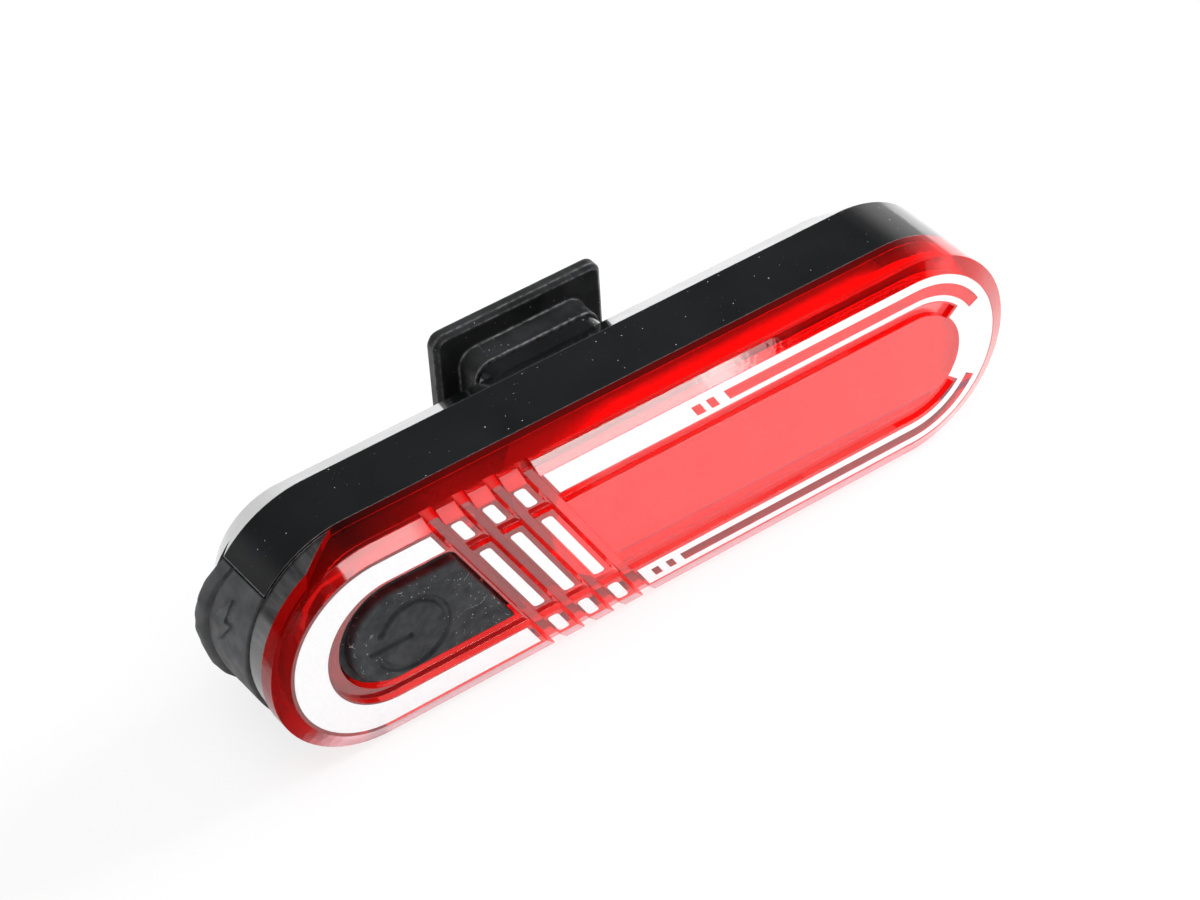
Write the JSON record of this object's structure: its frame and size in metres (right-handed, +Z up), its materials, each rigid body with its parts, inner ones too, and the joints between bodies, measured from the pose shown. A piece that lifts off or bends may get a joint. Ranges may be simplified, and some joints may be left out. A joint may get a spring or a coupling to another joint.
{
  "type": "bicycle rear light",
  "caption": "Round-ended rechargeable bicycle rear light with a sculpted red lens, a rubber power button, a charging cover and a strap plate behind.",
  "frame": {"origin": "middle of the bounding box, on the surface that the light lies on", "axes": "+X along the light from the button end to the window end, -Y out of the lens, +Z up from its long side"},
  "size_m": [0.0756, 0.0208, 0.0206],
  "materials": {
    "black_plastic": "satin black moulded plastic",
    "red_lens": "clear red polycarbonate",
    "seal_rubber": "matte silicone",
    "button_rubber": "matte black silicone",
    "cover_rubber": "matte dark grey rubber",
    "switch_plastic": "matte black plastic",
    "plunger_plastic": "matte red plastic",
    "board_green": "solder-masked circuit board",
    "chip_black": "matte moulded chip",
    "ferrite": "dull ferrite",
    "capacitor_tan": "sintered ceramic",
    "indicator_clear": "clear cast resin",
    "socket_steel": "plated sheet steel",
    "socket_plastic": "black moulded plastic",
    "cell_foil": "satin pouch foil",
    "tape_foam": "pale foam tape",
    "lead_wire": "insulated wire",
    "reflector_white": "white moulded plastic",
    "strip_board_white": "white solder mask",
    "strip_phosphor": "phosphor-filled silicone",
    "screw_steel": "plated steel",
    "bracket_plastic": "matte black rubbery plastic"
  },
  "bodies": {
    "light_body": {"housing": "black_plastic", "lens": "red_lens", "lens_seal": "seal_rubber", "switch_body": "switch_plastic", "main_board": "board_green", "charging_chip": "chip_black", "inductor": "ferrite", "board_capacitors": "capacitor_tan", "charge_indicator": "indicator_clear", "socket_shell": "socket_steel", "socket_insert": "socket_plastic", "battery_cell": "cell_foil", "battery_tape": "tape_foam", "battery_leads": "lead_wire", "reflector": "reflector_white", "strip_board": "strip_board_white", "light_strip": "strip_phosphor", "board_screws": "screw_steel", "strap_bracket": "bracket_plastic", "bracket_screws": "screw_steel"},
    "button": {"power_button": "button_rubber"},
    "plunger": {"switch_plunger": "plunger_plastic"},
    "cover": {"charging_cover": "cover_rubber"}
  },
  "joints": [
    {"name": "button_press", "type": "slide", "parent": "light_body", "child": "button", "axis": [0, 1, 0], "range_m": [0, 0.0005], "stiffness_N_per_m": 600},
    {"name": "plunger_press", "type": "slide", "parent": "light_body", "child": "plunger", "axis": [0, 1, 0], "range_m": [0, 0.0005]},
    {"name": "cover_hinge", "type": "hinge", "parent": "light_body", "child": "cover", "pos_m": [-0.03725, -0.006, 0.0103], "axis": [0, 0, 1], "range_deg": [0, 100]}
  ],
  "couplings": [
    {"joint": "plunger_press", "follows": "button_press", "ratio": 1}
  ]
}
